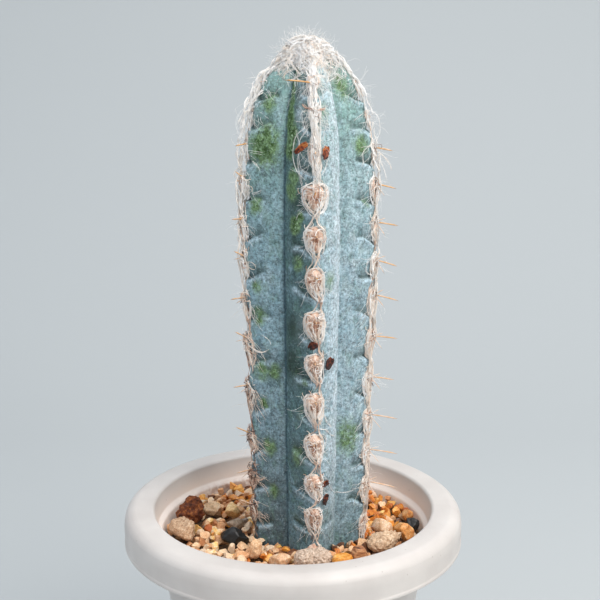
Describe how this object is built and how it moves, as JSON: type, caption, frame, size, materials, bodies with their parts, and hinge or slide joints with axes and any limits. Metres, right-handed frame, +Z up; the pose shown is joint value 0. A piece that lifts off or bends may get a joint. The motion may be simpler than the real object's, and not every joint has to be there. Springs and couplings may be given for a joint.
{
  "type": "potted torch cactus",
  "caption": "Blue ribbed columnar cactus with woolly, spiny rib edges and a white woolly tip, in a round white plastic pot with gravel.",
  "frame": {"origin": "middle of the pot's foot, on the surface it stands on", "axes": "+Z up along the stem; -Y towards the front in the picture, +X to its right"},
  "size_m": [0.14, 0.14, 0.3135],
  "materials": {
    "white_plastic": "matte moulded",
    "potting_mix": "loose, damp",
    "mixed_gravel": "natural small pebbles",
    "blue_skin": "waxy bloom, matte",
    "cream_wool": "felted plant hair",
    "white_wool": "soft plant hair",
    "lava_stone": "rough",
    "tan_stone": "rough",
    "beige_stone": "rough",
    "yellow_stone": "satin",
    "grey_stone": "rough",
    "charcoal_stone": "rough",
    "pink_stone": "satin",
    "pumice_stone": "grainy",
    "orange_stone": "smooth",
    "layered_stone": "banded"
  },
  "bodies": {
    "root": {"pot": "white_plastic", "soil": "potting_mix", "gravel": "mixed_gravel", "stem": "blue_skin", "wool_rib_front": "cream_wool", "wool_rib_right": "cream_wool", "wool_rib_back_right": "cream_wool", "wool_rib_back_left": "cream_wool", "wool_rib_left": "cream_wool", "crown_wool": "white_wool", "stone_lava_brown": "lava_stone", "stone_tan_flat": "tan_stone", "stone_beige": "beige_stone", "stone_pale_yellow": "yellow_stone", "stone_grey_flat": "grey_stone", "stone_charcoal": "charcoal_stone", "stone_tan_cube": "tan_stone", "stone_pink_pebble": "pink_stone", "stone_pumice_pair": "pumice_stone", "stone_amber": "orange_stone", "stone_layered": "layered_stone", "stone_beige_long": "beige_stone", "stone_pink_quartz": "pink_stone", "stone_orange_angular": "orange_stone", "stone_black_small": "charcoal_stone", "stone_orange_wall": "orange_stone"}
  },
  "joints": []
}
